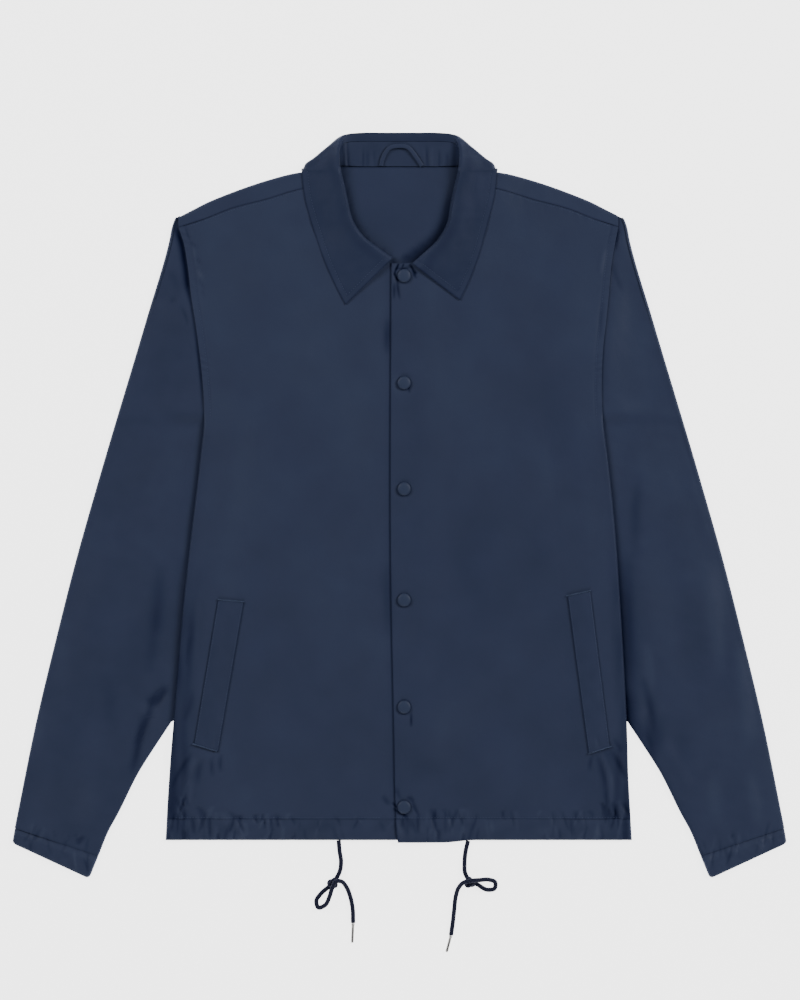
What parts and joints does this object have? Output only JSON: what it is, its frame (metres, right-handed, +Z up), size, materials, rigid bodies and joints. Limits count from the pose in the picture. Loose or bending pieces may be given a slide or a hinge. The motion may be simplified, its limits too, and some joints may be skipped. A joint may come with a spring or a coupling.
{
  "type": "coach jacket",
  "caption": "Plain nylon coach jacket laid flat on its back, snap front, turned-down collar, slanted welt pockets, gathered cuffs and hem drawcords.",
  "frame": {"origin": "on the surface the jacket lies on, under the middle of the box round its cloth", "axes": "+X to the wearer's left, +Y from the hem to the collar, +Z up from the surface through the closed front"},
  "size_m": [0.8116, 0.8605, 0.0145],
  "materials": {
    "back_nylon": "thin navy nylon with a faint sheen",
    "front_nylon": "thin navy nylon with a faint sheen",
    "sleeve_nylon": "thin navy nylon with a faint sheen",
    "casing_nylon": "thin navy nylon, doubled over the hem cord",
    "cuff_nylon": "thin navy nylon gathered over elastic",
    "collar_nylon": "thin navy nylon, lined and stitched near its edges",
    "welt_nylon": "thin navy nylon, folded and edge stitched",
    "snap_cap": "navy enamelled snap cap",
    "cord_yarn": "dark navy round braid",
    "tip_metal": "plain crimped metal cord tip"
  },
  "bodies": {
    "root": {"back": "back_nylon", "casing_back": "casing_nylon", "front_right": "front_nylon", "front_left": "front_nylon", "casing_front_right": "casing_nylon", "casing_front_left": "casing_nylon", "sleeve_right": "sleeve_nylon", "sleeve_left": "sleeve_nylon", "cuff_right": "cuff_nylon", "cuff_left": "cuff_nylon", "collar": "collar_nylon", "collar_stand": "collar_nylon", "hanger_loop": "collar_nylon", "pocket_welt_right": "welt_nylon", "pocket_welt_left": "welt_nylon", "snap_1": "snap_cap", "snap_2": "snap_cap", "snap_3": "snap_cap", "snap_4": "snap_cap", "snap_5": "snap_cap", "snap_6": "snap_cap", "drawcord_right": "cord_yarn", "drawcord_left": "cord_yarn", "cord_tip_right": "tip_metal", "cord_tip_left": "tip_metal"}
  },
  "joints": []
}
